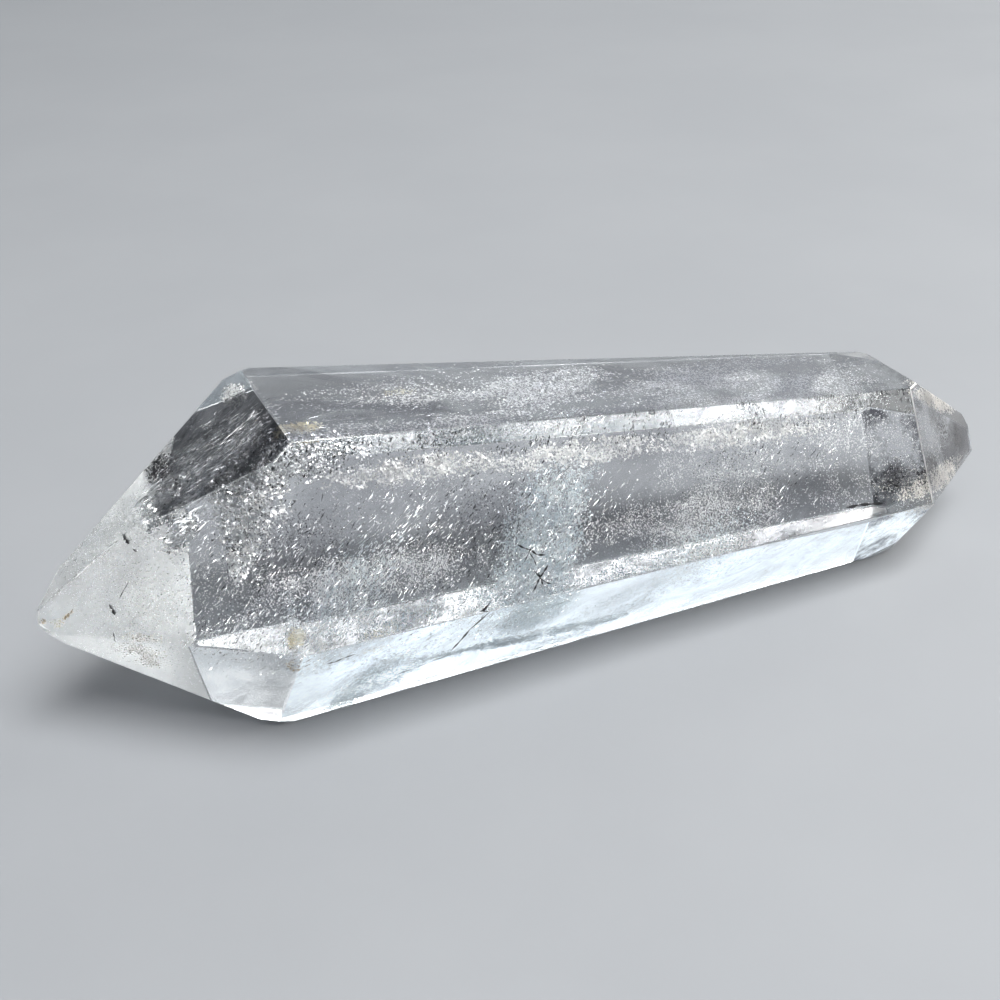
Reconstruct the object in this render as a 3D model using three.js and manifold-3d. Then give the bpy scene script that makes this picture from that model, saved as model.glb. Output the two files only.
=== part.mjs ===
// A clear double terminated quartz crystal, sawn and polished by hand: a six-sided prism that narrows
// towards one end, and at each end six sloping facets that run together in a slightly worn tip.
// Millimetres, +Z up. The crystal lies on its bottom prism face with its wide end towards -X, and the
// origin is on the resting plane, under the middle of the crystal.

import * as THREE from 'three';
import { mergeVertices } from 'three/addons/utils/BufferGeometryUtils.js';
import Module from 'manifold-3d';

// The six faces of the prism. turn: degrees round the long axis, 0 facing +Y and 90 facing up.
// reach: from the long axis to the face, halfway along the prism. taper: how many degrees the face
// leans in towards the narrow end.
const prismFaces = {
  top: { turn: 89.7, reach: 12.6, taper: 4.05 },
  upperFront: { turn: 150.6, reach: 11.9, taper: 4.05 },
  lowerFront: { turn: 212.2, reach: 11.9, taper: 4.2 },
  bottom: { turn: 270, reach: 11.8, taper: 3.6 },
  lowerBack: { turn: 330.9, reach: 12.1, taper: 4.05 },
  upperBack: { turn: 29.8, reach: 11.7, taper: 4.45 },
};

// The facets of the two ends, one above each prism face. start: where the facet begins, along the
// long axis, in the middle of its prism face. slope: degrees between the facet and the long axis.
// swing: how many degrees the facet is turned round the axis from its prism face.
const wideEnd = {
  side: -1,
  facets: {
    top: { start: -32.7, slope: 34.4, swing: 2.6 },
    upperFront: { start: -34.0, slope: 35.6, swing: 0.4 },
    lowerFront: { start: -34.2, slope: 29.0, swing: -1.4 },
    bottom: { start: -34.8, slope: 28.4, swing: -1.3 },
    lowerBack: { start: -33.6, slope: 36.3, swing: 3.2 },
    upperBack: { start: -33.2, slope: 38.1, swing: -5.0 },
  },
  // The worn tip. crossing: where the plane of the wear meets the long axis.
  wear: [
    { turn: -27.5, slope: 60, crossing: -54.6 },
    { turn: -89.5, slope: 44.4, crossing: -56.6 },
  ],
};

const narrowEnd = {
  side: 1,
  facets: {
    top: { start: 33.9, slope: 32.0, swing: -2.3 },
    upperFront: { start: 33.1, slope: 34.1, swing: -2.8 },
    lowerFront: { start: 34.0, slope: 32.9, swing: -1.1 },
    bottom: { start: 34.5, slope: 35.0, swing: 0.5 },
    lowerBack: { start: 33.1, slope: 35.0, swing: 0 },
    upperBack: { start: 34.0, slope: 32.9, swing: 0.1 },
  },
  wear: [{ turn: -30, slope: 75.3, crossing: 46.1 }],
};

// Corners between two prism faces and an end, rubbed down to a small facet. depth: how far the corner
// is cut back.
const wornCorners = [
  { end: wideEnd, faces: ['top', 'upperBack'], depth: 0.35 },
  { end: wideEnd, faces: ['lowerFront', 'bottom'], depth: 0.55 },
  { end: narrowEnd, faces: ['top', 'upperBack'], depth: 0.25 },
  { end: narrowEnd, faces: ['lowerFront', 'bottom'], depth: 0.55 },
];

// Pits in the facets of the wide end. along and turn: where the pit is, along the long axis and round
// it. radius: of the pit, which is half a ball.
const pits = [
  { face: 'upperFront', along: -45.8, turn: 124.3, radius: 0.35 },
  { face: 'upperFront', along: -45.4, turn: 133.5, radius: 0.2 },
  { face: 'upperFront', along: -47.6, turn: 182.2, radius: 0.4 },
  { face: 'lowerFront', along: -48.3, turn: 216.2, radius: 0.3 },
];

// Chips out of the ridges of the wide end, each a shallow bite of a ball of the given radius.
const chips = [
  { faces: ['top', 'upperBack'], along: -43.0, radius: 1.6, depth: 0.2 },
  { faces: ['lowerFront', 'bottom'], along: -48.3, radius: 1.2, depth: 0.15 },
];

// The rough block, and the cubes of waste that the saw takes off it.
const blockLength = 130;
const blockWidth = 60;
const sawSize = 160;

// How finely the balls of the pits and chips are faceted.
const pitDetail = 1;
const chipDetail = 5;

// Unit vector square to the long axis, at a turn round it.
function sideways(turn) {
  const angle = THREE.MathUtils.degToRad(turn);
  return new THREE.Vector3(0, Math.cos(angle), Math.sin(angle));
}

// Plane through a point, facing sideways at a turn and leaning by some degrees towards one end.
function leaningPlane(turn, lean, side, point) {
  const angle = THREE.MathUtils.degToRad(lean);
  const normal = sideways(turn).multiplyScalar(Math.cos(angle));
  normal.x = side * Math.sin(angle);
  return new THREE.Plane().setFromNormalAndCoplanarPoint(normal, point);
}

function prismPlane(faceName) {
  const { turn, reach, taper } = prismFaces[faceName];
  return leaningPlane(turn, taper, 1, sideways(turn).multiplyScalar(reach));
}

function facetPlane(end, faceName) {
  const face = prismFaces[faceName];
  const { start, slope, swing } = end.facets[faceName];
  const reachThere = face.reach - start * Math.tan(THREE.MathUtils.degToRad(face.taper));
  const point = sideways(face.turn).multiplyScalar(reachThere);
  point.x = start;
  return leaningPlane(face.turn + swing, slope, end.side, point);
}

function tipPlane(end, { turn, slope, crossing }) {
  return leaningPlane(turn, slope, end.side, new THREE.Vector3(crossing, 0, 0));
}

// The point that three planes share, by Cramer's rule.
function sharedPoint(first, second, third) {
  const a = first.normal;
  const b = second.normal;
  const c = third.normal;
  const point = new THREE.Vector3().crossVectors(b, c).multiplyScalar(-first.constant);
  point.addScaledVector(new THREE.Vector3().crossVectors(c, a), -second.constant);
  point.addScaledVector(new THREE.Vector3().crossVectors(a, b), -third.constant);
  return point.divideScalar(a.dot(new THREE.Vector3().crossVectors(b, c)));
}

// A small facet across a corner, facing between the four planes that meet there.
function cornerPlane({ end, faces, depth }) {
  const sides = faces.map(prismPlane);
  const slopes = faces.map((faceName) => facetPlane(end, faceName));
  const normal = new THREE.Vector3();
  for (const plane of [...sides, ...slopes]) {
    normal.add(plane.normal);
  }
  normal.normalize();
  const corners = slopes.map((slope) => sharedPoint(...sides, slope));
  const nearest = Math.min(...corners.map((corner) => corner.dot(normal)));
  return new THREE.Plane(normal, depth - nearest);
}

// The plane square to the long axis at a place along it.
function sectionPlane(along) {
  return new THREE.Plane(new THREE.Vector3(1, 0, 0), -along);
}

// Centre of the ball that leaves a pit: on the facet, at a turn round the axis.
function pitCentre({ face, along, turn }) {
  const facet = facetPlane(wideEnd, face);
  const ray = new THREE.Ray(new THREE.Vector3(along, 0, 0), sideways(turn));
  return ray.intersectPlane(facet, new THREE.Vector3());
}

// Centre of the ball that leaves a chip: outside the ridge between two facets.
function chipCentre({ faces, along, radius, depth }) {
  const [first, second] = faces.map((faceName) => facetPlane(wideEnd, faceName));
  const outward = new THREE.Vector3().addVectors(first.normal, second.normal).normalize();
  return sharedPoint(first, second, sectionPlane(along)).addScaledVector(outward, radius - depth);
}

const wasm = await Module();
wasm.setup();

// A three.js geometry as a solid that can be cut.
function toSolid(geometry) {
  const bare = geometry.clone();
  bare.deleteAttribute('normal');
  bare.deleteAttribute('uv');
  const welded = mergeVertices(bare);
  return new wasm.Manifold(new wasm.Mesh({
    numProp: 3,
    vertProperties: new Float32Array(welded.attributes.position.array),
    triVerts: new Uint32Array(welded.index.array),
  }));
}

function toGeometry(solid) {
  const mesh = solid.getMesh();
  const geometry = new THREE.BufferGeometry();
  geometry.setAttribute('position', new THREE.BufferAttribute(mesh.vertProperties, 3));
  geometry.setIndex(new THREE.BufferAttribute(mesh.triVerts, 1));
  return geometry;
}

// A saw cut: the block of waste that lies on the outer side of a plane.
function wasteBeyond(plane) {
  const waste = new THREE.BoxGeometry(sawSize, sawSize, sawSize);
  waste.translate(0, 0, sawSize / 2);
  waste.applyQuaternion(new THREE.Quaternion().setFromUnitVectors(new THREE.Vector3(0, 0, 1), plane.normal));
  const foot = plane.coplanarPoint(new THREE.Vector3());
  waste.translate(foot.x, foot.y, foot.z);
  return toSolid(waste);
}

// A ball that is scooped out of the surface.
function scoop(radius, centre, detail) {
  const ball = new THREE.IcosahedronGeometry(radius, detail);
  ball.translate(centre.x, centre.y, centre.z);
  return toSolid(ball);
}

const cuts = Object.keys(prismFaces).map(prismPlane);
for (const end of [wideEnd, narrowEnd]) {
  cuts.push(...Object.keys(end.facets).map((faceName) => facetPlane(end, faceName)));
  cuts.push(...end.wear.map((wear) => tipPlane(end, wear)));
}
cuts.push(...wornCorners.map(cornerPlane));

let solid = toSolid(new THREE.BoxGeometry(blockLength, blockWidth, blockWidth));
for (const cut of cuts) {
  solid = solid.subtract(wasteBeyond(cut));
}
for (const pit of pits) {
  solid = solid.subtract(scoop(pit.radius, pitCentre(pit), pitDetail));
}
for (const chip of chips) {
  solid = solid.subtract(scoop(chip.radius, chipCentre(chip), chipDetail));
}

// Laid down on its bottom face, then moved so that the origin is under its middle.
const geometry = toGeometry(solid);
geometry.rotateY(THREE.MathUtils.degToRad(prismFaces.bottom.taper));
geometry.computeBoundingBox();
const middle = geometry.boundingBox.getCenter(new THREE.Vector3());
geometry.translate(-middle.x, -middle.y, -geometry.boundingBox.min.z);
geometry.computeVertexNormals();

const quartz = new THREE.MeshStandardMaterial({
  color: 0xe8ecef,
  roughness: 0.05,
  metalness: 0,
  transparent: true,
  opacity: 0.35,
});

const crystal = new THREE.Mesh(geometry, quartz);
crystal.name = 'crystal';

const part = new THREE.Group();
part.add(crystal);

export default part;
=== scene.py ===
from math import cos, pi, radians, sin

import bmesh
import bpy
import numpy as np
from mathutils import Matrix, Vector


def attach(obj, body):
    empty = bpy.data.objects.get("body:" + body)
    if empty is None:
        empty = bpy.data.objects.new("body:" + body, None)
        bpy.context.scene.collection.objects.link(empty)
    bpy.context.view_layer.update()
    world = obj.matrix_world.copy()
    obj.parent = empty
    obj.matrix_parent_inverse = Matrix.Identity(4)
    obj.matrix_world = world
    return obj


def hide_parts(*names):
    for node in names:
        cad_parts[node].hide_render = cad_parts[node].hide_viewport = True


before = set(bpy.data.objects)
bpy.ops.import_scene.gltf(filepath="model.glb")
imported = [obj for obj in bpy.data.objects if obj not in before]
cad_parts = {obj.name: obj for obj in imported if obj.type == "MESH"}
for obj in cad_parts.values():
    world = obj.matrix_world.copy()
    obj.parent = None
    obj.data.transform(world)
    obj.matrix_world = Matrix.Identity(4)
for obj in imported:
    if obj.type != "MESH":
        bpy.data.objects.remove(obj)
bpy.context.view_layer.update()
print("frame loaded")

mm = 0.001


def unit(vectors):
    return vectors / np.linalg.norm(vectors, axis=-1, keepdims=True)


# One node socket that can be used in sums: tone * 2 + other adds the Math nodes.
class Tone:
    def __init__(self, finish, socket):
        self.finish = finish
        self.socket = socket

    def maths(self, operation, first, second):
        return self.finish.node("ShaderNodeMath", {"operation": operation}, {0: first, 1: second})[0]

    def __add__(self, other):
        return self.maths("ADD", self, other)

    __radd__ = __add__

    def __mul__(self, other):
        return self.maths("MULTIPLY", self, other)

    __rmul__ = __mul__

    def __sub__(self, other):
        return self.maths("SUBTRACT", self, other)

    def __rsub__(self, other):
        return self.maths("SUBTRACT", other, self)

    # 0 below low, 1 above high, and smooth between.
    def rise(self, low, high):
        settings = {"interpolation_type": "SMOOTHSTEP"}
        values = {0: self, 1: low, 2: high}
        return self.finish.node("ShaderNodeMapRange", settings, values)[0]


# One material and its nodes. node() takes a type, the settings that are made first,
# and the values or links of its sockets, and gives back its outputs.
class Finish:
    def __init__(self, name):
        self.material = bpy.data.materials.new(name)
        self.material.use_nodes = True
        self.tree = self.material.node_tree
        self.tree.nodes.clear()

    def node(self, kind, settings=None, values=None):
        made = self.tree.nodes.new(kind)
        for key, value in (settings or {}).items():
            setattr(made, key, value)
        for key, value in (values or {}).items():
            socket = made.inputs[key]
            if isinstance(value, Tone):
                self.tree.links.new(value.socket, socket)
            else:
                socket.default_value = value
        return [Tone(self, out) for out in made.outputs if out.enabled]

    # Where a point lies on the piece, in metres.
    def place(self):
        return self.node("ShaderNodeTexCoord")[3]

    def noise(self, where, scale, detail=4.0, rough=0.55, twist=0.0):
        values = {
            "Vector": where,
            "Scale": scale,
            "Detail": detail,
            "Roughness": rough,
            "Distortion": twist,
        }
        return self.node("ShaderNodeTexNoise", {}, values)[0]

    # The place with its part along a direction made shorter, which draws a pattern out that way.
    def drawnOut(self, where, heading, stretch):
        way = tuple(unit(np.array(heading)))
        vector = "ShaderNodeVectorMath"
        along = self.node(vector, {"operation": "DOT_PRODUCT"}, {0: where, 1: way})[0]
        cut = self.node(vector, {"operation": "SCALE"}, {0: way, "Scale": along * (1 - 1 / stretch)})[0]
        return self.node(vector, {"operation": "SUBTRACT"}, {0: where, 1: cut})[0]

    # From the first colour to the second as the share goes from 0 to 1.
    def blend(self, share, first, second):
        values = {0: share, 6: first, 7: second}
        return self.node("ShaderNodeMix", {"data_type": "RGBA"}, values)[0]

    # One colour times another.
    def times(self, first, second):
        settings = {"data_type": "RGBA", "blend_type": "MULTIPLY"}
        return self.node("ShaderNodeMix", settings, {0: 1.0, 6: first, 7: second})[0]

    # Ends the material with a Principled shader, and a volume when there is one.
    def shine(self, values, volume=None):
        ends = {"Surface": self.node("ShaderNodeBsdfPrincipled", {}, values)[0]}
        if volume:
            ends["Volume"] = volume
        self.node("ShaderNodeOutputMaterial", {}, ends)
        return self.material


# The view: the camera and how far it is turned and tilted.
camera = {
    "place": (-48.35 * mm, -109.33 * mm, 83.20 * mm),
    "heading": 21.16,  # degrees from +Y towards +X
    "dip": 30.58,  # degrees below level
    "roll": 0.85,  # degrees, the right side lower
    "lens": 50.4,
    "sensor": 36,
    "range": (0.005, 20),  # the nearest and the furthest thing it draws, in metres
}


def makeCamera():
    data = bpy.data.cameras.new("studioCamera")
    data.lens = camera["lens"]
    data.sensor_width = camera["sensor"]
    data.clip_start, data.clip_end = camera["range"]
    item = bpy.data.objects.new("studioCamera", data)
    turn = Matrix.Rotation(radians(-camera["heading"]), 4, "Z")
    tilt = Matrix.Rotation(radians(90 - camera["dip"]), 4, "X")
    roll = Matrix.Rotation(radians(-camera["roll"]), 4, "Z")
    item.matrix_world = Matrix.Translation(camera["place"]) @ turn @ tilt @ roll
    bpy.context.scene.collection.objects.link(item)
    bpy.context.scene.camera = item


studio = {
    "floorColour": (0.270, 0.284, 0.305, 1),
    "floorSecond": (0.282, 0.296, 0.317, 1),
    "floorGrain": 22,  # soft patches per metre
    "floorDrop": 0.05 * mm,
    "floorReach": 1.2,
    "backdropRise": 0.9,
    "backdropBend": 0.4,  # radius of the curve between floor and backdrop
    "sky": (0.75, 0.85, 1.0, 1),
    "skyLevel": 0.04,
    "lampDistance": 0.8,
    "lampAim": (0, 0, 12 * mm),
    "bounces": 14,  # how often light may bend or mirror
    "floorBounces": 4,  # and how often it may scatter from something dull
    "passThrough": 48,
}

# Each lamp's heading (degrees from +Y towards +X), its height above level in degrees, its width
# and depth, its power in watts and its colour.
lamps = {
    "keyRight": (165, 65, 0.50, 0.40, 10.3, (1.0, 0.99, 0.97)),
    "keyLeft": (-150, 60, 0.39, 0.40, 1.6, (1.0, 0.99, 0.97)),
    "rearMiddle": (0, 8, 0.92, 0.40, 0.37, (0.90, 0.96, 1.0)),
    "rearRight": (35, 8, 0.92, 0.40, 0.37, (0.90, 0.96, 1.0)),
    "rearPanel": (26, 25, 1.2, 0.45, 1.5, (0.92, 0.96, 1.0)),
    "side": (90, 8, 0.92, 0.40, 12.4, (1.0, 0.965, 0.92)),
}


# A rectangular lamp that looks at the middle of the crystal from its heading and height.
def makeLamp(name, heading, height, width, depth, power, colour):
    data = bpy.data.lights.new(name, "AREA")
    data.shape = "RECTANGLE"
    data.size = width
    data.size_y = depth
    data.energy = power
    data.color = colour
    item = bpy.data.objects.new(name, data)
    h, e = radians(heading), radians(height)
    away = Vector((sin(h) * cos(e), cos(h) * cos(e), sin(e)))
    item.location = Vector(studio["lampAim"]) + away * studio["lampDistance"]
    item.rotation_mode = "QUATERNION"
    item.rotation_quaternion = away.to_track_quat("Z", "Y")
    bpy.context.scene.collection.objects.link(item)


# The floor is a plane that curves up into a backdrop: level as far as it reaches, then a
# quarter circle, then straight up.
def makeFloor():
    reach, rise, bend = studio["floorReach"], studio["backdropRise"], studio["backdropBend"]
    arc = np.linspace(0, pi / 2, 17)
    y = np.concatenate([[-reach], reach + bend * np.sin(arc), [reach + bend]])
    z = np.concatenate([[0], bend - bend * np.cos(arc), [rise]])
    x = np.array([-2 * reach, 2 * reach])
    n = len(y)
    verts = np.stack([np.repeat(x, n), np.tile(y, 2), np.tile(z, 2) - studio["floorDrop"]], 1)
    row = np.arange(n - 1)
    faces = np.stack([row, row + n, row + n + 1, row + 1], 1)
    mesh = bpy.data.meshes.new("studioFloor")
    mesh.from_pydata(verts.tolist(), [], faces.tolist())
    item = bpy.data.objects.new("studioFloor", mesh)
    bpy.context.scene.collection.objects.link(item)
    finish = Finish("paleFloor")
    grain = finish.noise(finish.place(), studio["floorGrain"], 4.0, 0.6)
    values = {
        "Base Color": finish.blend(grain.rise(0.3, 0.7), studio["floorColour"], studio["floorSecond"]),
        "Roughness": grain * 0.1 + 0.65,
    }
    mesh.materials.append(finish.shine(values))


def makeStudio():
    world = bpy.data.worlds.new("studioAir")
    world.use_nodes = True
    air = world.node_tree.nodes["Background"]
    air.inputs["Color"].default_value = studio["sky"]
    air.inputs["Strength"].default_value = studio["skyLevel"]
    bpy.context.scene.world = world
    for name, values in lamps.items():
        makeLamp(name, *values)
    makeFloor()
    scene = bpy.context.scene
    scene.view_settings.view_transform = "Standard"
    scene.cycles.max_bounces = studio["bounces"]
    scene.cycles.glossy_bounces = studio["bounces"]
    scene.cycles.transmission_bounces = studio["bounces"]
    scene.cycles.transparent_max_bounces = studio["passThrough"]
    scene.cycles.diffuse_bounces = studio["floorBounces"]


makeCamera()
makeStudio()
print("camera, floor and lamps made")


# Directions inside the crystal. Little cracks that face these ways flash towards the camera,
# each seen through another face.
seenFront = (-0.05, -0.59, 0.80)
seenTop = (-0.02, -0.40, 0.92)
seenLow = (-0.03, -0.75, 0.66)
seenEnd = (-0.22, -0.44, 0.87)
seenSide = (-0.22, -0.60, 0.77)
seenUnder = (-0.01, -0.87, 0.49)
seenNarrow = (0.12, -0.70, 0.69)
dashWay = (0.78, 0.38, 0.50)  # how the little cracks run under the front face
steepWay = (0.37, 0.49, 0.79)  # straight up the front face
endWay = (0.85, 0.08, 0.51)  # how they run under the top face of the wide point
longWay = (0.99, 0.09, -0.13)  # along the crystal


# The clear crystal: its edges, its glass and the patterns on its faces.
clear = {
    "edge": 0.13 * mm,  # how far an edge is rounded back from its corner
    "edgeSteps": 3,
    "smallest": 0.1 * mm,  # corners closer than this are one corner
    "flat": 0.5,  # degrees: faces that turn by less are one face
    "sameWay": 0.9995,  # cosine of the angle within which a face points a kind's way
    "lightBend": 1.544,  # index of refraction of quartz
    "tint": (0.85, 0.90, 0.93, 1),
    "tintDepth": 12.0,  # absorption per metre
    "driftScale": 170,  # patches of colour per metre
    "driftStretch": 2.5,  # how far they are drawn out
    "driftEdges": (0.42, 0.60),  # where the second colour begins and where it is full
    "veil": (0.34, 0.34, 0.38, 1),  # colour of the soft dark veils
    "veilScale": 120,  # veils per metre
    "veilStretch": 1.8,
    "veilEdges": (0.45, 0.62),
    "tipStart": -38.7 * mm,  # the painted shade on the top of the wide point ends here
    "farSlope": 0.535,
    "farSide": -11.44 * mm,  # and beyond y + farSlope * x = farSide
    "tipBlur": 0.4 * mm,
    "sideBlur": 0.2 * mm,
    "rimSlope": 0.041,  # the top face is darker along its near edge, y = rimSlope * x + rimPlace
    "rimPlace": -6.6 * mm,
    "rimReach": (1.8 * mm, 0.4 * mm),  # from no shade to full shade
    "rimEdges": (0.36, 0.52),
    "wave": 0.012 * mm,  # height of the slow waves that polishing left
    "waveScale": 75,  # waves per metre
    "smudge": 0.10,  # roughness of the small dull places
    "smudgeEdges": (0.66, 0.76),
}

# Each kind of face: the ways its faces point, two colours that drift into each other, how rough
# the first is and how much rougher the second, and how strong its veils are. One kind's colours
# stop short of the tip, and one is shaded along its near edge. Any other face is polished.
faceKinds = {
    "polished": {
        "faces": [],
        "colours": ((1, 1, 1), (0.95, 0.955, 0.96)),
        "rough": (0.0, 0.0),
        "veils": 0.3,
    },
    "veiled": {  # the top face
        "faces": [(0.133, 0.006, 0.991)],
        "colours": ((1, 1, 1), (0.93, 0.94, 0.97)),
        "rough": (0.0, 0.0),
        "veils": 1.0,
        "shade": 1,
    },
    "long": {  # the upper near face
        "faces": [(0.101, -0.869, 0.484)],
        "colours": ((1, 1, 1), (0.95, 0.955, 0.96)),
        "rough": (0.0, 0.0),
        "veils": 0.5,
    },
    "narrow": {  # the upper near face of the narrow point, whose darker patches are painted shade
        "faces": [(0.587, -0.701, 0.405)],
        "colours": ((0.85, 0.85, 0.86), (0.30, 0.30, 0.31)),
        "rough": (0.0, 0.0),
        "veils": 0.9,
    },
    "cool": {  # the lower near face
        "faces": [(0.040, -0.844, -0.535)],
        "colours": ((0.88, 0.97, 1.0), (0.80, 0.88, 0.92)),
        "rough": (0.0, 0.0),
        "veils": 0.3,
    },
    "frosted": {  # the far side of the wide point, and the far and under sides of the narrow one
        "faces": [(-0.613, 0.725, -0.314), (0.568, 0.728, 0.384), (0.521, 0.007, -0.854)],
        "colours": ((1, 0.975, 0.935), (0.88, 0.85, 0.80)),
        "rough": (0.38, 0.15),
        "veils": 0.0,
    },
    "ground": {  # the underside
        "faces": [(0, 0, -1)],
        "colours": ((0.84, 0.80, 0.74), (0.50, 0.47, 0.43)),
        "rough": (0.16, 0.42),
        "veils": 0.0,
    },
    "clouded": {  # the lower far side, whose darker patches are painted shade
        "faces": [(0.040, 0.872, -0.489)],
        "colours": ((1, 1, 1), (0.72, 0.72, 0.73)),
        "rough": (0.12, 0.10),
        "veils": 0.3,
    },
    "edge": {  # the rounded edge between the upper near face and the narrow point's, darkened by painted shade that dims its highlight
        "faces": [(0.219, -0.851, 0.478), (0.356, -0.813, 0.461), (0.487, -0.758, 0.434)],
        "colours": ((0.75, 0.75, 0.76), (0.35, 0.35, 0.36)),
        "rough": (0.35, 0.35),
        "veils": 0.6,
    },
    "dim": {  # the lower far side of the narrow point, whose darker patches are painted shade
        "faces": [(0.547, 0.716, -0.434)],
        "colours": ((0.90, 0.90, 0.91), (0.03, 0.03, 0.04)),
        "rough": (0.0, 0.1),
        "veils": 0.3,
    },
    "paintedShade": {  # the top face of the wide point; its dark colours are painted shade
        "faces": [(-0.512, -0.033, 0.858)],
        "colours": ((0.05, 0.052, 0.058), (0.33, 0.33, 0.34)),
        "rough": (0.0, 0.0),
        "veils": 0.6,
        "stops": 1,
    },
    "dusky": {  # the upper near face of the wide point, with a faint painted shade in its first colour
        "faces": [(-0.556, -0.711, 0.430)],
        "colours": ((0.92, 0.92, 0.93), (1, 1, 1)),
        "rough": (0.0, 0.0),
        "veils": 0.4,
    },
}

# What is written on every face: its two colours, and its roughness with where its look stops.
faceMarks = ("firstColour", "secondColour", "dullness")


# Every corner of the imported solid, once each, as an array of points.
def cadCorners():
    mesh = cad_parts["crystal"].data
    points = np.zeros(len(mesh.vertices) * 3)
    mesh.vertices.foreach_get("co", points)
    return np.unique(points.reshape(-1, 3).round(7), axis=0)


# The convex hull of the solid's corners, its flat faces whole again and its edges rounded.
def clearShape():
    mesh = bpy.data.meshes.new("clearCrystal")
    mesh.from_pydata(cadCorners().tolist(), [], [])
    work = bmesh.new()
    work.from_mesh(mesh)
    hull = bmesh.ops.convex_hull(work, input=work.verts)
    inner = [g for g in hull["geom_interior"] if isinstance(g, bmesh.types.BMVert)]
    bmesh.ops.delete(work, geom=inner, context="VERTS")
    bmesh.ops.dissolve_limit(
        work,
        angle_limit=radians(clear["flat"]),
        use_dissolve_boundaries=False,
        verts=work.verts,
        edges=work.edges,
    )
    bmesh.ops.remove_doubles(work, verts=work.verts, dist=clear["smallest"])
    bmesh.ops.recalc_face_normals(work, faces=work.faces)
    walls = np.array([[*f.normal, f.normal.dot(f.calc_center_median())] for f in work.faces])
    bmesh.ops.bevel(
        work,
        geom=list(work.edges),
        offset=clear["edge"],
        offset_type="OFFSET",
        segments=clear["edgeSteps"],
        profile=0.5,
        affect="EDGES",
        clamp_overlap=True,
    )
    bmesh.ops.recalc_face_normals(work, faces=work.faces)
    work.to_mesh(mesh)
    work.free()
    return mesh, walls


# Clear glass that bends light as quartz does, with slow waves and dull smudges. Every face
# brings its own two colours and its own roughness, and one drawn-out pattern shares them out.
# Soft veils darken it, and the shade along the top face's near edge goes over them.
def clearFinish():
    finish = Finish("clearQuartz")
    where = finish.place()
    absorb = finish.node(
        "ShaderNodeVolumeAbsorption",
        {},
        {"Color": clear["tint"], "Density": clear["tintDepth"]},
    )[0]
    first, second, dullness = [
        finish.node("ShaderNodeAttribute", {"attribute_name": name})[0] for name in faceMarks
    ]
    low, change, stops = finish.node("ShaderNodeSeparateColor", {}, {0: dullness})[:3]
    veils = finish.node("ShaderNodeAttribute", {"attribute_name": faceMarks[0]})[3]
    shade = finish.node("ShaderNodeAttribute", {"attribute_name": faceMarks[2]})[3]
    x, y = finish.node("ShaderNodeSeparateXYZ", {}, {0: where})[:2]
    pastTip = (x - clear["tipStart"]).rise(clear["tipBlur"], -clear["tipBlur"])
    beyond = y + x * clear["farSlope"] - clear["farSide"]
    pastSide = beyond.rise(-clear["sideBlur"], clear["sideBlur"])
    plain = stops * (1 - (1 - pastTip) * (1 - pastSide))  # 1 where the painted shade stops
    slanted = finish.drawnOut(where, dashWay, clear["driftStretch"])
    field = finish.noise(slanted, clear["driftScale"], 7.0, 0.74, 0.5)
    drift = field.rise(*clear["driftEdges"])
    lengthwise = finish.drawnOut(where, longWay, clear["veilStretch"])
    soft = finish.noise(lengthwise, clear["veilScale"], 5.0, 0.6, 0.8)
    rim = (y - x * clear["rimSlope"] - clear["rimPlace"]).rise(*clear["rimReach"])
    rim = rim * shade * soft.rise(*clear["rimEdges"])
    veil = soft.rise(*clear["veilEdges"]) * veils * (1 - rim) + rim
    smudges = field.rise(*clear["smudgeEdges"])
    waves = finish.noise(where, clear["waveScale"], 1.0, 0.5)
    bump = finish.node(
        "ShaderNodeBump",
        {},
        {"Strength": 1.0, "Distance": clear["wave"], "Height": waves},
    )[0]
    white = (1, 1, 1, 1)
    colour = finish.blend(plain, finish.blend(drift, first, second), white)
    values = {
        "Base Color": finish.times(colour, finish.blend(veil, white, clear["veil"])),
        "Roughness": low + drift * change + smudges * clear["smudge"],
        "IOR": clear["lightBend"],
        "Transmission Weight": 1.0,
        "Normal": bump,
    }
    return finish.shine(values, absorb)


# Writes the colours and the roughness of its kind on every face.
def markFaces(mesh):
    normals = np.zeros(len(mesh.polygons) * 3)
    mesh.polygons.foreach_get("normal", normals)
    normals = normals.reshape(-1, 3)
    corners = np.zeros(len(mesh.polygons), np.int32)
    mesh.polygons.foreach_get("loop_total", corners)
    marks = np.ones((3, len(mesh.polygons), 4))
    for look in faceKinds.values():
        match = np.full(len(normals), not look["faces"])
        if look["faces"]:
            match = (normals @ unit(np.array(look["faces"])).T).max(1) > clear["sameWay"]
        marks[0, match] = (*look["colours"][0], look["veils"])
        marks[1, match] = (*look["colours"][1], 1)
        marks[2, match] = (*look["rough"], look.get("stops", 0), look.get("shade", 0))
    for name, colours in zip(faceMarks, marks):
        layer = mesh.attributes.new(name, "FLOAT_COLOR", "CORNER")
        layer.data.foreach_set("color", np.repeat(colours, corners, axis=0).ravel())


def makeClear():
    mesh, walls = clearShape()
    markFaces(mesh)
    mesh.materials.append(clearFinish())
    item = bpy.data.objects.new("clearCrystal", mesh)
    bpy.context.scene.collection.objects.link(item)
    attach(item, "root")
    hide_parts("crystal")
    return walls


walls = makeClear()
print("clear crystal made")


# How far each point lies inside the nearest flat face; below 0 it is outside.
def depthInside(points):
    return (walls[:, 3] - points @ walls[:, :3].T).min(1)


# Three directions at right angles, the first along the given one.
def basisFor(heading):
    first = unit(np.array(heading, float))
    second = unit(np.cross((0, 0, 1), first))
    return np.stack([first, second, np.cross(first, second)])


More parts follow.
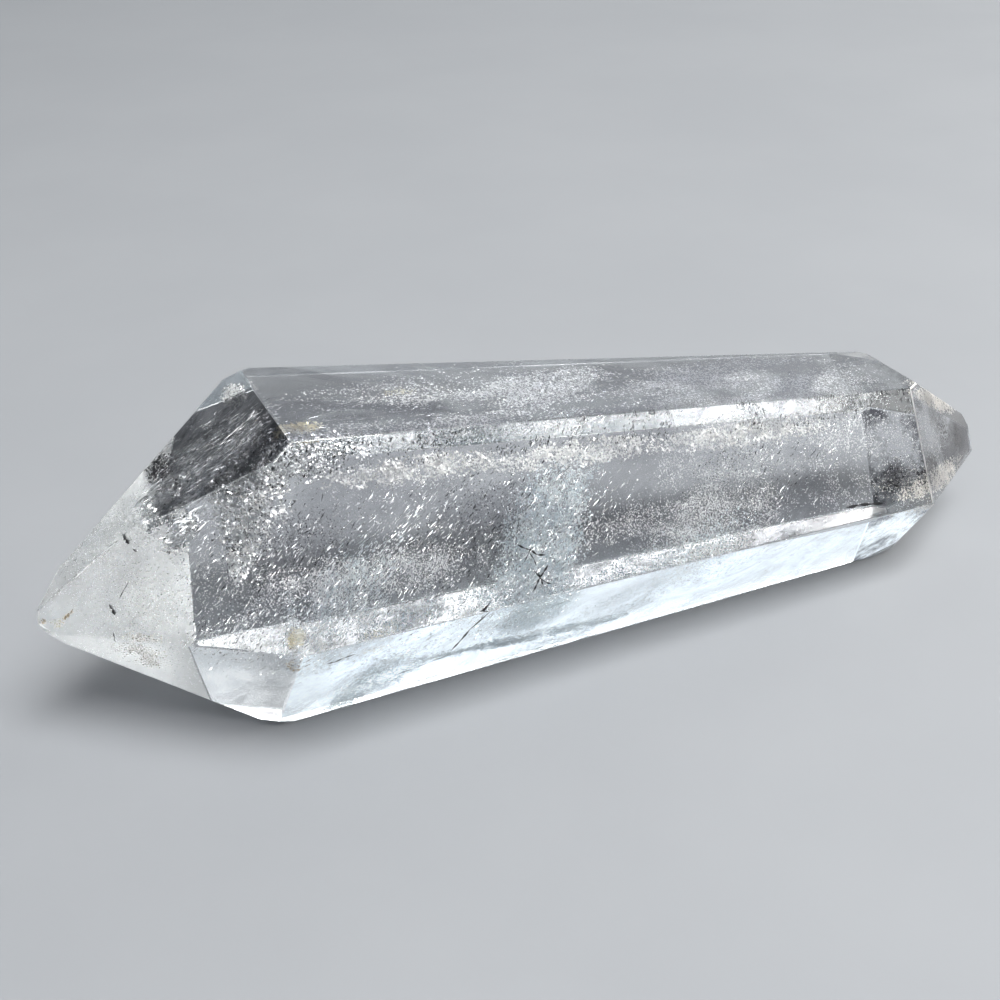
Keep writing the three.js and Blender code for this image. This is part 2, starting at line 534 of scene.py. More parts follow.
# A soft field about 0.5 made of sine waves of about the given size, each with its own direction
# and phase: half their sum over the root of their number is added to 0.5.
def patches(points, size, rng, waves=24):
    heading = unit(rng.normal(size=(waves, 3)))
    pitch = 2 * pi / (size * rng.uniform(0.6, 1.8, waves))
    phase = rng.uniform(0, 2 * pi, waves)
    total = np.sin(points @ heading.T * pitch + phase).sum(1)
    return 0.5 + total / np.sqrt(waves) * 0.5


# Three fields of patches drawn out along a grain: half of the first, 0.3 of one 0.4 times its
# size and 0.2 of one 0.14 times its size. It is 0 below low, 1 above high and smooth between.
def cloudiness(points, size, stretch, grain, low, high, rng):
    local = points @ basisFor(grain).T / np.array([stretch, 1, 1])
    field = patches(local, size, rng) * 0.5
    field += patches(local, size * 0.4, rng) * 0.3 + patches(local, size * 0.14, rng) * 0.2
    rise = np.clip((field - low) / (high - low), 0, 1)
    return rise * rise * (3 - 2 * rise)


# 1 inside an egg with the given half widths along and across its grain, and 0 outside it: 2.2
# times what is left of 1 after the distance from its middle in half widths.
def egg(points, middle, half, grain):
    local = (points / mm - middle) @ basisFor(grain).T
    return np.clip((1 - np.linalg.norm(local / half, axis=1)) * 2.2, 0, 1)


# Lengths from low to high in mm: low plus the rest times a random number to a power, so that
# the higher the power, the more of them are short.
def sizes(low, high, power, count, rng):
    return (low + (high - low) * rng.random(count) ** power) * mm


# Builds a mesh from an array of points and an array of faces that all have as many corners.
def meshFrom(name, points, faces, finish):
    mesh = bpy.data.meshes.new(name)
    count, corners = faces.shape
    mesh.vertices.add(len(points))
    mesh.vertices.foreach_set("co", points.ravel())
    mesh.loops.add(count * corners)
    mesh.loops.foreach_set("vertex_index", faces.ravel())
    mesh.polygons.add(count)
    mesh.polygons.foreach_set("loop_start", np.arange(count) * corners)
    mesh.polygons.foreach_set("use_smooth", np.zeros(count, bool))
    mesh.update(calc_edges=True)
    mesh.validate()
    mesh.materials.append(finish)
    item = bpy.data.objects.new(name, mesh)
    bpy.context.scene.collection.objects.link(item)
    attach(item, "root")
    print("  ", name, count, "faces")


# Closed slivers. Each is a stretched octahedron: its corners lie half its length along its own
# axis, half its width across and half its thickness through, to either side of its centre.
def slivers(centres, along, facing, length, width, thick):
    along = unit(along)
    across = unit(np.cross(facing, along))
    through = np.cross(along, across)
    reach = [along * length[:, None], across * width[:, None], through * thick[:, None]]
    corners = np.stack([reach[0], -reach[0], reach[1], -reach[1], reach[2], -reach[2]], 1) / 2
    points = (centres[:, None] + corners).reshape(-1, 3)
    upper = np.array([(0, 2, 4), (2, 1, 4), (1, 3, 4), (3, 0, 4)])
    lower = np.where(upper == 4, 5, upper)[:, ::-1]
    sides = np.concatenate([upper, lower])
    faces = (sides + 6 * np.arange(len(centres))[:, None, None]).reshape(-1, 3)
    return points, faces


# Closed chips. Each is a flattened tetrahedron: three corners on a circle of its own size, a
# third of a turn apart, and the fourth a quarter of its radius below its middle.
def chips(centres, facing, size, rng):
    facing = unit(facing)
    along = unit(np.cross(facing, rng.normal(size=centres.shape)))
    across = np.cross(facing, along)
    turn = np.array([0, 2, 4]) * pi / 3
    base = np.cos(turn)[:, None] * along[:, None] + np.sin(turn)[:, None] * across[:, None]
    foot = facing[:, None] * -0.25
    corners = np.concatenate([base, foot], 1) * size[:, None, None] / 2
    points = (centres[:, None] + corners).reshape(-1, 3)
    sides = np.array([(0, 1, 2), (0, 3, 1), (1, 3, 2), (2, 3, 0)])
    faces = (sides + 4 * np.arange(len(centres))[:, None, None]).reshape(-1, 3)
    return points, faces


cover = 0.15 * mm  # what fills a cloud or lies along the edge stays this far below the faces

# What a cloud of flakes has where neither it nor its piece says otherwise.
usualCloud = {
    "tries": 6,  # places that are tried for each flake
    "patch": 4,  # size of its thick and thin patches in mm
    "stretch": 1.0,  # how far they are drawn out along the grain
    "grain": longWay,
    "edges": (0.42, 0.66),  # where a patch begins and where it is thickest
    "facing": seenFront,  # the way its flakes face
    "tilt": 0.3,  # how far they stray from it
    "size": (0.06, 0.2),  # smallest and largest flake in mm
}


# A cloud: at most how many flakes it has, the middle and the half widths of its egg in mm, and
# what is not as usual.
def cloudOf(count, middle, half, **changes):
    return {"count": count, "middle": middle, "half": half, **changes}


# Places in a cloud's egg, thicker where its patches are.
def placesIn(cloud, rng):
    middle, half = np.array(cloud["middle"]), np.array(cloud["half"])
    spread = rng.uniform(-1, 1, (cloud["count"] * cloud["tries"], 3)) * half
    places = (spread @ basisFor(cloud["grain"]) + middle) * mm
    places = places[depthInside(places) > cover]
    grain = cloud["grain"]
    chance = cloudiness(places, cloud["patch"] * mm, cloud["stretch"], grain, *cloud["edges"], rng)
    chance = chance * egg(places, middle, half, grain)
    return places[rng.random(len(places)) < chance][: cloud["count"]]


# Chips at the given places, each turned a little its own way.
def chipsIn(cloud, places, rng):
    n = len(places)
    facing = np.array(cloud["facing"]) + rng.normal(size=(n, 3)) * cloud["tilt"]
    return chips(places, facing, sizes(*cloud["size"], 2, n, rng), rng)


# Slivers at the given places, a quarter as thick as wide. Their direction strays a little and
# is then laid square to the way they face, by taking off its share along that way.
def sliversIn(cloud, places, rng):
    n = len(places)
    facing = np.array(cloud["facing"]) + rng.normal(size=(n, 3)) * cloud["tilt"]
    along = np.array(cloud["along"]) + rng.normal(size=(n, 3)) * cloud["spread"]
    along = along - facing * (along * facing).sum(1)[:, None] / (facing * facing).sum(1)[:, None]
    length = sizes(*cloud["length"], 2.2, n, rng)
    width = sizes(*cloud["width"], 1.2, n, rng)
    return slivers(places, along, facing, length, width, width * 0.25)


# One piece from all its clouds: slivers where they have a length, and chips where they don't.
def makePiece(name, piece):
    rng = np.random.default_rng(piece["seed"])
    points, faces, start = [], [], 0
    for own in piece["clouds"]:
        cloud = {**usualCloud, **piece, **own}
        places = placesIn(cloud, rng)
        flakes = sliversIn(cloud, places, rng) if "length" in cloud else chipsIn(cloud, places, rng)
        points.append(flakes[0])
        faces.append(flakes[1] + start)
        start += len(flakes[0])
    meshFrom(name, np.concatenate(points), np.concatenate(faces), piece["finish"])


# The same clouds with a share of their flakes, and with whatever else changes.
def thinned(clouds, share, **changes):
    return [{**cloud, "count": int(cloud["count"] * share), **changes} for cloud in clouds]


flakeDrift = {"scale": 700, "edges": (0.4, 0.6)}  # patches of colour per metre, and their edges


# A flake's finish: two colours and two roughnesses that drift into each other.
def flakeFinish(name, first, second, rough, metal):
    finish = Finish(name)
    drift = finish.noise(finish.place(), flakeDrift["scale"], 2.0, 0.6).rise(*flakeDrift["edges"])
    values = {
        "Base Color": finish.blend(drift, first, second),
        "Roughness": drift * (rough[1] - rough[0]) + rough[0],
        "Metallic": metal,
    }
    return finish.shine(values)


# Bright flakes are nearly mirrors, because glass passes on little of what a matt flake scatters.
whiteFlake = flakeFinish("whiteFlake", (0.96, 0.97, 0.98, 1), (0.78, 0.79, 0.82, 1), (0.40, 0.58), 0.75)
foamFlake = flakeFinish("foamFlake", (0.98, 0.98, 0.97, 1), (0.86, 0.87, 0.88, 1), (0.4, 0.58), 0.8)
milkFlake = flakeFinish("milkFlake", (0.94, 0.98, 1.0, 1), (0.74, 0.82, 0.87, 1), (0.48, 0.64), 0.8)
mirrorFlake = flakeFinish("mirrorFlake", (0.98, 0.985, 0.99, 1), (0.86, 0.88, 0.90, 1), (0.18, 0.35), 1.0)
darkFlake = flakeFinish("darkCrack", (0.012, 0.012, 0.014, 1), (0.04, 0.041, 0.045, 1), (0.5, 0.8), 0.0)
# Dark grey flakes for the specks of painted shade.
shadeFlake = flakeFinish("shadeFlake", (0.10, 0.10, 0.115, 1), (0.20, 0.20, 0.215, 1), (0.5, 0.8), 0.0)
goldFlake = flakeFinish("goldenStain", (0.88, 0.80, 0.56, 1), (0.96, 0.94, 0.84, 1), (0.3, 0.6), 0.7)
beigeFlake = flakeFinish("beigeHaze", (0.88, 0.85, 0.79, 1), (0.95, 0.93, 0.90, 1), (0.4, 0.6), 0.7)
rustFlake = flakeFinish("rustStain", (0.36, 0.25, 0.11, 1), (0.55, 0.44, 0.26, 1), (0.5, 0.8), 0.0)


# Fine white haze through the whole crystal.
whiteHaze = {
    "finish": whiteFlake,
    "seed": 9,
    "clouds": [
        cloudOf(
            9000, (-20, -4, 15), (34, 14, 14),
            patch=6, stretch=3, grain=dashWay, edges=(0.47, 0.60), facing=seenLow,
        ),
        cloudOf(
            9000, (15, -3, 12), (34, 14, 13),
            patch=6, stretch=3, grain=dashWay, edges=(0.47, 0.60), facing=seenLow,
        ),
        cloudOf(6000, (-36, -5, 13), (9, 12, 9), patch=5, edges=(0.44, 0.7)),
        cloudOf(1500, (-30, -9, 12), (6, 4, 5), patch=3, stretch=3, grain=dashWay),
        cloudOf(
            5000, (-22, -10.9, 16.0), (14, 2.4, 3.0), tries=10,
            patch=3.5, stretch=2, edges=(0.34, 0.58), facing=seenLow, tilt=0.24,
        ),
        cloudOf(
            5000, (9, -9.1, 13.4), (15, 2.4, 3.2), tries=10,
            patch=3.5, stretch=2, edges=(0.34, 0.58), facing=seenLow, tilt=0.24,
        ),
        cloudOf(
            3000, (38, -4, 12), (12, 7, 7),
            stretch=2, grain=steepWay, edges=(0.42, 0.58), facing=(-0.1, -0.72, 0.69),
        ),
    ],
}
makePiece("whiteHaze", whiteHaze)

# Crackle just under the top front edge, at the wide end.
bandCrackle = {
    "finish": mirrorFlake,
    "seed": 51,
    "clouds": [
        cloudOf(
            2600, (-25.5, -6.6, 26.2), (6, 1.8, 2.6), tries=14,
            patch=2.2, stretch=1.6, edges=(0.36, 0.54), tilt=0.26, size=(0.08, 0.36),
        ),
    ],
}
makePiece("bandCrackle", bandCrackle)

# Crackle lower down, all along the same edge, and a pale corner behind the wide point.
bandFringe = {
    "finish": foamFlake,
    "seed": 52,
    "tries": 14,
    "patch": 1.4,
    "stretch": 1.5,
    "edges": (0.40, 0.56),
    "facing": seenLow,
    "tilt": 0.18,
    "size": (0.08, 0.34),
    "clouds": [
        cloudOf(2600, (-17, -7.5, 23.6), (10, 1.2, 1.5)),
        cloudOf(2600, (-1, -7.0, 21.6), (12, 1.2, 1.5)),
        cloudOf(2600, (17, -6.2, 19.4), (12, 1.2, 1.5)),
        cloudOf(
            900, (-29.0, 5.6, 26.4), (1.6, 2.4, 1.2), tries=20,
            patch=2, stretch=1.0, edges=(0.1, 0.4), facing=seenEnd, tilt=0.34, size=(0.1, 0.3),
        ),
    ],
}
makePiece("bandFringe", bandFringe)

# Faint haze in the wide point.
tipHaze = {
    "finish": whiteFlake,
    "seed": 14,
    "clouds": [
        cloudOf(
            9000, (-45, 0, 14), (9, 10, 10),
            patch=6, edges=(0.2, 0.6), facing=(-0.25, -0.56, 0.79), tilt=0.6, size=(0.05, 0.13),
        ),
    ],
}
makePiece("tipHaze", tipHaze)

# The milky clouds in the middle of the front and near the wide end.
milkyCloud = {
    "finish": milkFlake,
    "seed": 5,
    "facing": seenLow,
    "clouds": [
        cloudOf(
            12000, (-5.4, -6.0, 12.0), (9, 5.0, 3.6),
            patch=2.2, stretch=1.6, grain=steepWay, edges=(0.41, 0.55), tilt=0.28, size=(0.07, 0.3),
        ),
        cloudOf(
            5000, (-7.6, -7.5, 10), (6, 3.6, 3),
            patch=2.2, stretch=2.0, grain=steepWay, edges=(0.42, 0.62), tilt=0.26, size=(0.07, 0.24),
        ),
        cloudOf(
            3600, (-1.6, -4.0, 15.5), (6, 3.6, 3),
            patch=2.4, stretch=2.5, grain=dashWay, edges=(0.46, 0.66), tilt=0.26, size=(0.07, 0.24),
        ),
        cloudOf(
            5000, (-9, -9, 9), (8, 3, 4),
            patch=3, stretch=2.0, edges=(0.40, 0.62), tilt=0.26, size=(0.07, 0.22),
        ),
        cloudOf(
            6000, (-25, -8, 12), (5, 3.5, 5),
            patch=3, stretch=2.0, grain=steepWay, edges=(0.44, 0.66), tilt=0.28, size=(0.06, 0.18),
        ),
    ],
}
makePiece("milkyCloud", milkyCloud)

# Wisps under the top face and three thin veils across the crystal.
topWisps = {
    "finish": whiteFlake,
    "seed": 31,
    "edges": (0.3, 0.6),
    "facing": seenLow,
    "tilt": 0.22,
    "clouds": [
        cloudOf(
            14000, (-6, 0, 24), (26, 8, 2.6),
            stretch=5, edges=(0.48, 0.60), facing=seenTop, size=(0.08, 0.34),
        ),
        cloudOf(
            9000, (21, 0, 19.5), (18, 7, 2.4),
            stretch=4, edges=(0.48, 0.60), facing=seenTop, size=(0.08, 0.3),
        ),
        cloudOf(3000, (11.6, -3, 12.8), (9, 5, 0.9), grain=steepWay),
        cloudOf(3000, (17.5, -3, 12.4), (9, 5, 0.8), grain=steepWay),
        cloudOf(3600, (29.3, -3, 13.9), (9, 6, 1.1), grain=steepWay),
    ],
}
makePiece("topWisps", topWisps)

# Soft strands under the lower near face.
lowStrands = {
    "finish": milkFlake,
    "seed": 32,
    "facing": seenUnder,
    "tilt": 0.24,
    "clouds": [
        cloudOf(
            7000, (-22, -8, 5), (10, 4, 4), tries=8,
            patch=2.6, stretch=4, grain=(0.63, -0.39, 0.67), edges=(0.47, 0.58), size=(0.08, 0.3),
        ),
        cloudOf(
            7000, (4, -7.5, 6), (20, 4, 4), tries=8,
            patch=2.6, stretch=4, grain=(0.8, -0.3, 0.5), edges=(0.48, 0.59), size=(0.08, 0.3),
        ),
        cloudOf(
            5000, (-7, -7.9, 4.4), (14, 1.6, 1.3), tries=12,
            patch=1.6, stretch=2, edges=(0.42, 0.55), size=(0.08, 0.34),
        ),
    ],
}
makePiece("lowStrands", lowStrands)

# Fine dark specks, not marks in the stone: painted shade that makes the darker places.
shadeSpecks = {
    "finish": shadeFlake,
    "seed": 17,
    "tilt": 1.0,
    "size": (0.07, 0.2),
    "clouds": [
        cloudOf(
            700, (-36.4, 3.6, 21.1), (1.7, 3.4, 1.2), tries=40,
            patch=2, grain=(1, 0, 0.6), edges=(0.2, 0.4), size=(0.15, 0.45),
        ),
        cloudOf(5200, (-11, -5, 14), (8, 6, 5), stretch=2, grain=dashWay),
        cloudOf(2500, (-27, -5, 17), (4, 4, 4), patch=3, stretch=2, grain=steepWay),
        cloudOf(3500, (16, -4, 13), (14, 5, 6), patch=5, stretch=2, grain=dashWay),
        cloudOf(1800, (35, -6.5, 11.3), (3.4, 2.4, 1.8), patch=3, edges=(0.3, 0.5)),
        cloudOf(900, (46.0, -0.8, 10.8), (2, 2, 1.8), tries=12, patch=3, edges=(0.3, 0.5)),
        cloudOf(2500, (-4, 2, 23), (24, 6, 3), patch=5, stretch=3),
    ],
}
makePiece("shadeSpecks", shadeSpecks)

# How the little cracks run: the grain of their patches, their own direction, how far they stray
# from it, and their smallest and largest length and width in mm.
fineDashes = dict(grain=dashWay, along=dashWay, spread=0.12, length=(0.2, 1.0), width=(0.05, 0.13))
endDashes = dict(grain=endWay, along=endWay, spread=0.12, length=(0.2, 0.9), width=(0.05, 0.12))
topDashes = dict(grain=longWay, along=longWay, spread=0.15, length=(0.3, 1.6), width=(0.04, 0.10))
broadDashes = dict(along=dashWay, spread=0.2, length=(0.2, 0.8), width=(0.06, 0.14))
strokes = dict(along=endWay, spread=0.22, length=(0.5, 2.2), width=(0.12, 0.32))
longDashes = dict(along=endWay, spread=0.15, length=(0.5, 1.8), width=(0.07, 0.14))

# Little cracks that flash, most of them slanting the same way.
dashCracks = {
    "finish": mirrorFlake,
    "seed": 4,
    "stretch": 3,
    "facing": seenLow,
    "clouds": [
        cloudOf(1300, (-32, -8, 14), (9, 7, 8), patch=3, edges=(0.46, 0.64), tilt=0.16, **fineDashes),
        cloudOf(
            900, (-20, -6, 17), (12, 6, 8),
            patch=3, edges=(0.48, 0.66), facing=seenFront, tilt=0.16, **fineDashes,
        ),
        cloudOf(1100, (-18, -8, 14), (12, 6, 8), patch=3, edges=(0.48, 0.66), tilt=0.16, **fineDashes),
        cloudOf(1300, (-4, -6, 15), (14, 6, 8), patch=3, edges=(0.50, 0.68), tilt=0.18, **fineDashes),
        cloudOf(1000, (20, -5, 13), (22, 6, 8), edges=(0.52, 0.70), tilt=0.2, **fineDashes),
        cloudOf(
            1500, (-33, 1, 22), (8, 7, 6),
            patch=2.6, edges=(0.46, 0.60), facing=seenEnd, tilt=0.2, **endDashes,
        ),
        cloudOf(
            900, (-8, 0, 24), (24, 6, 3),
            stretch=4, edges=(0.50, 0.68), facing=seenTop, tilt=0.2, **topDashes,
        ),
    ],
}
makePiece("dashCracks", dashCracks)

# Bigger bright cracks under the top of the wide point.
brightStrokes = {
    "finish": mirrorFlake,
    "seed": 61,
    "facing": seenEnd,
    "clouds": [
        cloudOf(
            240, (-37.5, -0.8, 21.2), (2.9, 2.2, 0.9), tries=60,
            patch=1.0, grain=dashWay, edges=(0.30, 0.5), tilt=0.2, **strokes,
        ),
        cloudOf(
            170, (-36.5, -4.2, 20.3), (2.4, 1.6, 1.1), tries=60,
            patch=1.0, grain=dashWay, edges=(0.30, 0.5), facing=seenSide, tilt=0.2, **strokes,
        ),
        cloudOf(
            420, (-32, 1, 23), (7, 5, 3), tries=30,
            patch=2.0, stretch=2, grain=endWay, edges=(0.44, 0.6), tilt=0.16, **longDashes,
        ),
        cloudOf(
            260, (-29.5, -1.4, 26.0), (2.6, 2.4, 1.2), tries=60,
            patch=1.2, grain=endWay, edges=(0.40, 0.56), tilt=0.2, **longDashes,
        ),
    ],
}
makePiece("brightStrokes", brightStrokes)

# Cracks that flash in the milky clouds.
cloudSparks = {
    "finish": mirrorFlake,
    "seed": 62,
    **broadDashes,
    "tries": 12,
    "patch": 1.8,
    "edges": (0.42, 0.56),
    "facing": seenLow,
    "tilt": 0.22,
    "clouds": [
        cloudOf(900, (-5.6, -8.0, 12.6), (9, 4.6, 2.6), grain=steepWay),
        cloudOf(500, (-9, -9.5, 10), (7, 3.6, 2.6), grain=dashWay),
        cloudOf(500, (-26, -10, 13), (6, 3.6, 3), grain=dashWay),
    ],
}
makePiece("cloudSparks", cloudSparks)

# Dull, milky cracks in the same clouds.
milkDashes = {
    "finish": milkFlake,
    "seed": 19,
    **broadDashes,
    "tries": 10,
    "stretch": 2,
    "facing": seenLow,
    "tilt": 0.2,
    "clouds": [
        cloudOf(1500, (-5.0, -6.2, 12.6), (9, 4.6, 3.6), patch=2.2, grain=steepWay),
        cloudOf(700, (-8, -8, 9.5), (6, 4, 3.4), patch=2, grain=dashWay),
        cloudOf(900, (-25, -9, 13), (8, 4, 4), patch=2.4, grain=dashWay),
    ],
}
makePiece("milkDashes", milkDashes)

# Little cracks that stay dark.
darkDashes = {
    "finish": darkFlake,
    "seed": 6,
    **fineDashes,
    "stretch": 3,
    "edges": (0.46, 0.64),
    "tilt": 0.5,
    "clouds": [
        cloudOf(500, (-30, -7, 15), (10, 7, 8), patch=3),
        cloudOf(700, (-12, -6, 15), (16, 6, 8), patch=3),
        cloudOf(350, (18, -5, 13), (20, 6, 8)),
    ],
}
makePiece("darkDashes", darkDashes)

# The fractured places near the wide end.
fractures = {
    "finish": mirrorFlake,
    "seed": 8,
    "clouds": [
        cloudOf(
            2200, (-31.0, -6.0, 22.4), (5.6, 3.4, 1.7), tries=24,
            patch=1.5, grain=steepWay, edges=(0.38, 0.52), tilt=0.32, size=(0.12, 0.5),
        ),
        cloudOf(
            900, (-32.2, -7.4, 19.0), (3.0, 1.3, 1.2), tries=16,
            patch=1.4, grain=steepWay, edges=(0.40, 0.54), facing=seenLow, tilt=0.32, size=(0.12, 0.5),
        ),
        cloudOf(
            1100, (-30.6, -4.6, 24.6), (4.6, 2.4, 1.2), tries=16,
            patch=1.4, grain=endWay, edges=(0.40, 0.54), facing=(-0.13, -0.44, 0.89), size=(0.12, 0.45),
        ),
        cloudOf(
            500, (-37.0, -1.2, 21.4), (3.4, 1.6, 1.1), tries=16,
            patch=1.2, stretch=2.5, grain=dashWay, edges=(0.38, 0.5), facing=seenEnd, tilt=0.26,
            size=(0.16, 0.7),
        ),
        cloudOf(
            400, (-36.4, -4.0, 20.2), (2.6, 1.4, 1.1), tries=16,
            patch=1.2, stretch=2, grain=dashWay, edges=(0.38, 0.5), facing=seenSide, tilt=0.26,
            size=(0.16, 0.6),
        ),
    ],
}
makePiece("fractures", fractures)

# Whiter chips between the bright ones.
crackleFoam = {
    "finish": foamFlake,
    "seed": 28,
    "clouds": thinned(fractures["clouds"], 0.7, tilt=0.2, size=(0.1, 0.42)),
}
makePiece("crackleFoam", crackleFoam)

# Dark chips between the bright ones, and some in the narrow point.
shatterDarks = {
    "finish": darkFlake,
    "seed": 8,
    "clouds": thinned(fractures["clouds"], 0.2, tilt=0.9, size=(0.10, 0.36))
    + [
        cloudOf(
            150, (46.6, -1.6, 10.4), (1.6, 1.6, 1.5), tries=60,
            patch=1.2, edges=(0.36, 0.5), tilt=1.0, size=(0.2, 0.6),
        ),
        cloudOf(
            120, (43.6, -2.6, 12.8), (2.2, 1.6, 1.5), tries=60,
            patch=1.2, edges=(0.40, 0.54), tilt=1.0, size=(0.15, 0.5),
        ),
        cloudOf(
            150, (38.6, -6.2, 10.6), (3.0, 1.6, 1.2), tries=60,
            patch=1.2, grain=dashWay, edges=(0.40, 0.54), tilt=1.0, size=(0.15, 0.5),
        ),
        cloudOf(
            120, (33.6, -7.4, 11.4), (2.4, 1.6, 1.0), tries=60,
            patch=1.2, grain=dashWay, edges=(0.40, 0.54), tilt=1.0, size=(0.15, 0.5),
        ),
    ],
}
makePiece("shatterDarks", shatterDarks)

# Short dark cracks just under the top front edge, from one end of the long face to the other.
edgeCracks = {
    "finish": darkFlake,
    "seed": 33,
    "count": 1700,
    "start": (-29.5, -7.9, 28.5),  # both ends of the edge in mm
    "end": (37.0, -5.1, 20.0),
    "down": (0.05, -0.49, -0.87),  # down the long front face from its top edge
    "reach": 2.6,  # how far down they go in mm
    "inward": (0, 1, -0.56),
    "deep": (0.3, 1.3),  # how far inward
    "patch": 4,
    "stretch": 2,
    "edges": (0.30, 0.6),
    "spread": 0.35,
    "tilt": 0.3,
    "length": (0.15, 0.6),
    "width": (0.06, 0.15),
    "thick": 0.3,  # of their width
}


# Each crack's place is one along the edge, moved some way down the face and then inward.
def makeEdgeCracks():
    rng = np.random.default_rng(edgeCracks["seed"])
    n = edgeCracks["count"]
    start, end = np.array(edgeCracks["start"]), np.array(edgeCracks["end"])
    down = unit(np.array(edgeCracks["down"]))
    inward = np.array(edgeCracks["inward"])
    places = start + (end - start) * rng.random((n, 1))
    places = places + down * rng.random((n, 1)) ** 1.3 * edgeCracks["reach"]
    places = (places + inward * rng.uniform(*edgeCracks["deep"], (n, 1))) * mm
    places = places[depthInside(places) > cover]
    size, stretch = edgeCracks["patch"] * mm, edgeCracks["stretch"]
    chance = cloudiness(places, size, stretch, dashWay, *edgeCracks["edges"], rng)
    places = places[rng.random(len(places)) < chance]
    n = len(places)
    along = np.array(steepWay) + rng.normal(size=(n, 3)) * edgeCracks["spread"]
    length = sizes(*edgeCracks["length"], 1.8, n, rng)
    width = sizes(*edgeCracks["width"], 1.2, n, rng)
    facing = np.array(seenFront) + rng.normal(size=(n, 3)) * edgeCracks["tilt"]
    points, faces = slivers(places, along, facing, length, width, width * edgeCracks["thick"])
    meshFrom("edgeCracks", points, faces, edgeCracks["finish"])


makeEdgeCracks()


# Longer cracks, each a chain of points in mm with a width; between two points lies one sliver.
longCracks = {
    "finish": darkFlake,
    "seed": 12,
    "facing": (-0.2, -0.83, 0.52),
    "tilt": 0.1,
    "overlap": 1.25,  # a sliver's length for each length between its points
    "scatter": (0.7, 1.2),  # of their widths
    "thick": 0.4,  # of their width
    "chains": [
        (
            0.30,
            [(-27.6, -13.3, 10.6), (-26.9, -13.2, 10.5), (-26.2, -13.3, 10.8), (-25.1, -13.3, 11.0)],
        ),
        (0.40, [(-15.2, -9.9, 6.2), (-14.6, -10.9, 7.8), (-14.1, -12.0, 9.6), (-12.7, -13.6, 12.2)]),
        (
            0.20,
            [
                (-8.9, -11.0, 15.9), (-8.3, -11.2, 15.5), (-7.8, -11.3, 15.3),
                (-7.2, -11.5, 14.7), (-6.5, -11.6, 14.6),
            ],
        ),
        (0.16, [(-8.6, -11.8, 14.5), (-8.1, -11.5, 15.0), (-7.6, -11.3, 15.6)]),
        (0.15, [(-8.0, -11.3, 15.2), (-7.6, -11.7, 14.4), (-7.5, -11.9, 13.9)]),
        (
            0.20,
            [
                (-8.3, -13.1, 12.0), (-7.8, -12.8, 12.5), (-7.4, -12.5, 12.9),
                (-6.9, -12.3, 13.3), (-6.4, -12.0, 13.7),
            ],
        ),
        (0.16, [(-7.8, -12.2, 13.6), (-7.4, -12.5, 12.9), (-6.9, -12.7, 12.4), (-6.4, -12.8, 12.2)]),
        (0.15, [(-7.5, -12.4, 13.5), (-7.3, -12.6, 12.7), (-7.2, -12.8, 12.3)]),
        (0.18, [(-20.4, -8.9, 4.1), (-18.8, -9.0, 4.4), (-17.0, -9.1, 4.9), (-15.2, -9.3, 5.2)]),
        (0.34, [(27.0, -9.8, 10.8), (28.5, -9.7, 10.7), (30.0, -9.6, 10.4), (31.4, -9.6, 10.2)]),
        (0.30, [(32.2, -8.9, 12.4), (33.2, -8.6, 11.4), (34.0, -8.5, 10.9)]),
        (0.42, [(-41.6, -2.9, 20.0), (-41.3, -2.7, 19.6), (-41.1, -2.8, 19.2)]),
        (0.26, [(-40.9, -3.3, 18.9), (-40.6, -3.4, 18.6)]),
        (0.42, [(-43.8, -4.3, 14.5), (-43.5, -4.4, 14.0), (-43.4, -4.5, 13.5)]),
        (0.20, [(-43.9, -5.2, 12.2), (-43.8, -5.3, 11.7)]),
        (0.10, [(-42.8, -4.4, 15.0), (-42.3, -4.2, 15.6), (-41.7, -4.0, 16.2)]),
    ],
}


# One sliver lies from each point of a chain to the next, a little longer than the step.
def makeLongCracks():
    rng = np.random.default_rng(longCracks["seed"])
    chains = [np.array(chain, float) for width, chain in longCracks["chains"]]
    head = np.concatenate([chain[:-1] for chain in chains])
    tail = np.concatenate([chain[1:] for chain in chains])
    steps = [len(chain) - 1 for chain in chains]
    width = np.repeat([width for width, chain in longCracks["chains"]], steps)
    width = width * rng.uniform(*longCracks["scatter"], len(head)) * mm
    step = tail - head
    length = np.linalg.norm(step, axis=1) * longCracks["overlap"] * mm
    facing = np.array(longCracks["facing"]) + rng.normal(size=step.shape) * longCracks["tilt"]
    middle = (head + tail) / 2 * mm
    points, faces = slivers(middle, step, facing, length, width, width * longCracks["thick"])
    meshFrom("longCracks", points, faces, longCracks["finish"])


makeLongCracks()


# Golden iron stains.
goldenStains = {
    "finish": goldFlake,
    "seed": 41,
    "clouds": [
        cloudOf(
            900, (-26.0, -4.3, 27.2), (2.3, 1.2, 0.7), tries=24,
            patch=0.9, edges=(0.40, 0.54), facing=seenTop, size=(0.08, 0.32),
        ),
        cloudOf(
            300, (-15.0, 2.5, 24.6), (2.0, 1.2, 0.7), tries=20,
            patch=0.9, edges=(0.42, 0.56), facing=seenTop,
        ),
        cloudOf(
            420, (-30.1, -14.6, 14.1), (0.8, 0.5, 1.2), tries=30,
            patch=0.8, edges=(0.3, 0.5), tilt=0.4, size=(0.08, 0.24),
        ),
        cloudOf(
            160, (-48.2, -2.0, 12.3), (0.9, 0.5, 0.5), tries=60,
            patch=0.8, edges=(0.3, 0.5), tilt=0.5, size=(0.05, 0.14),
        ),
        cloudOf(
            220, (-22.5, -11.6, 10.6), (2.2, 0.9, 0.8), tries=20,
            patch=1.2, edges=(0.34, 0.5), tilt=0.4,
        ),
    ],
}
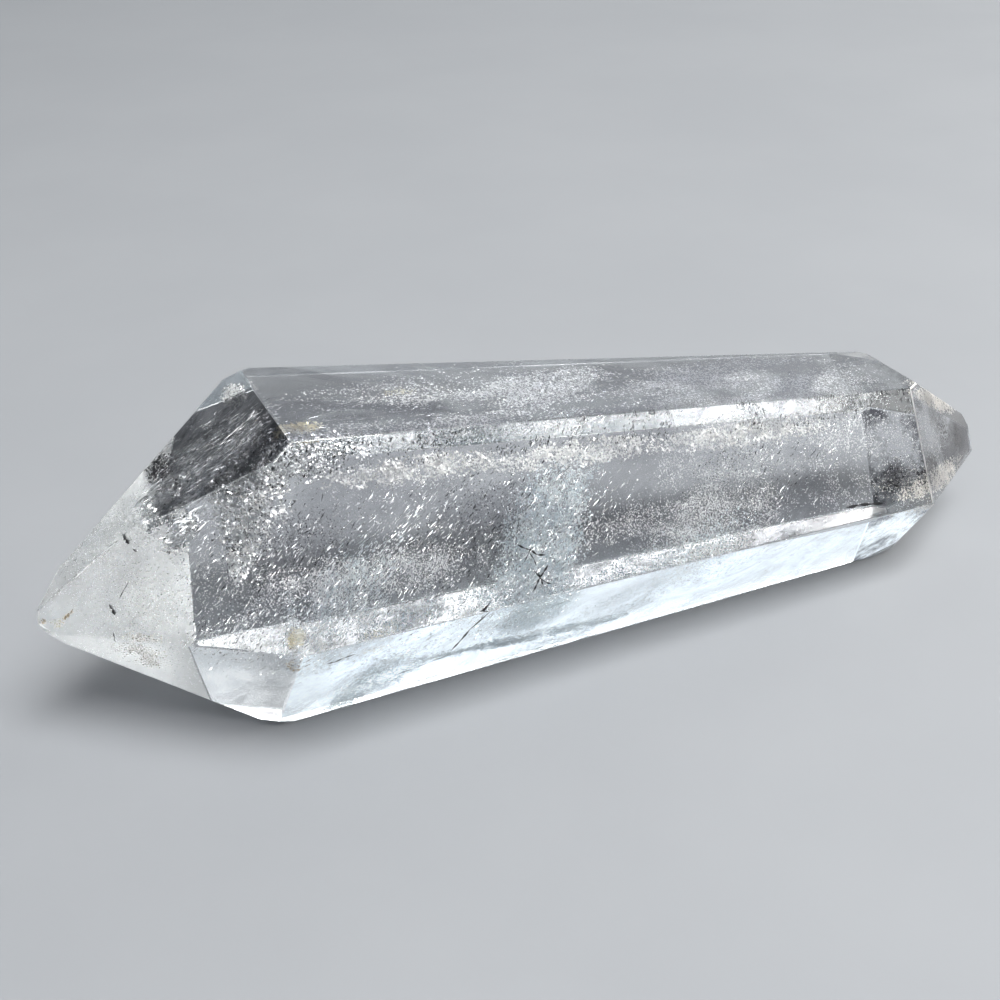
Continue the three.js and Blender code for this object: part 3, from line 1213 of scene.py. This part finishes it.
makePiece("goldenStains", goldenStains)

# Rusty iron stains.
rustStains = {
    "finish": rustFlake,
    "seed": 42,
    "clouds": [
        cloudOf(
            70, (-47.3, -2.6, 13.2), (0.95, 0.14, 0.2), tries=400,
            patch=0.8, grain=(0.76, -0.2, 0.62), edges=(0.1, 0.3), tilt=0.6, size=(0.08, 0.2),
        ),
        cloudOf(
            40, (-49.4, -1.5, 12.4), (0.3, 0.3, 0.3), tries=400,
            patch=0.8, edges=(0.1, 0.3), tilt=0.6, size=(0.08, 0.16),
        ),
        cloudOf(
            200, (-30.5, -14.4, 11.4), (0.7, 0.4, 0.9), tries=60,
            patch=0.8, edges=(0.3, 0.5), tilt=0.6, size=(0.08, 0.2),
        ),
        cloudOf(
            120, (-26.0, -4.8, 26.9), (2.2, 0.7, 0.4), tries=60,
            patch=0.7, edges=(0.44, 0.6), facing=seenTop, tilt=0.5, size=(0.08, 0.22),
        ),
    ],
}
makePiece("rustStains", rustStains)

# Beige haze under both points.
beigeHaze = {
    "finish": beigeFlake,
    "seed": 43,
    "clouds": [
        cloudOf(
            1300, (-42.0, -5.4, 9.8), (3.4, 1.3, 2.2), tries=16,
            patch=1.4, edges=(0.3, 0.5), facing=seenLow, tilt=0.4, size=(0.08, 0.24),
        ),
        cloudOf(
            2000, (42.6, -1.4, 15.6), (6.5, 1.8, 1.1), tries=30,
            patch=1.5, grain=(0.80, 0.36, -0.48), edges=(0.24, 0.44), facing=seenNarrow, tilt=0.25,
            size=(0.08, 0.32),
        ),
        cloudOf(
            2200, (40.2, -6.0, 9.2), (8, 1.9, 1.1), tries=30,
            patch=1.5, grain=(0.88, 0.46, -0.1), edges=(0.24, 0.44), facing=seenNarrow, tilt=0.25,
            size=(0.08, 0.32),
        ),
        cloudOf(
            900, (38, -5, 8.5), (7, 3, 2), tries=10,
            patch=2, edges=(0.36, 0.56), tilt=0.4, size=(0.08, 0.24),
        ),
    ],
}
makePiece("beigeHaze", beigeHaze)
print("inclusions made")
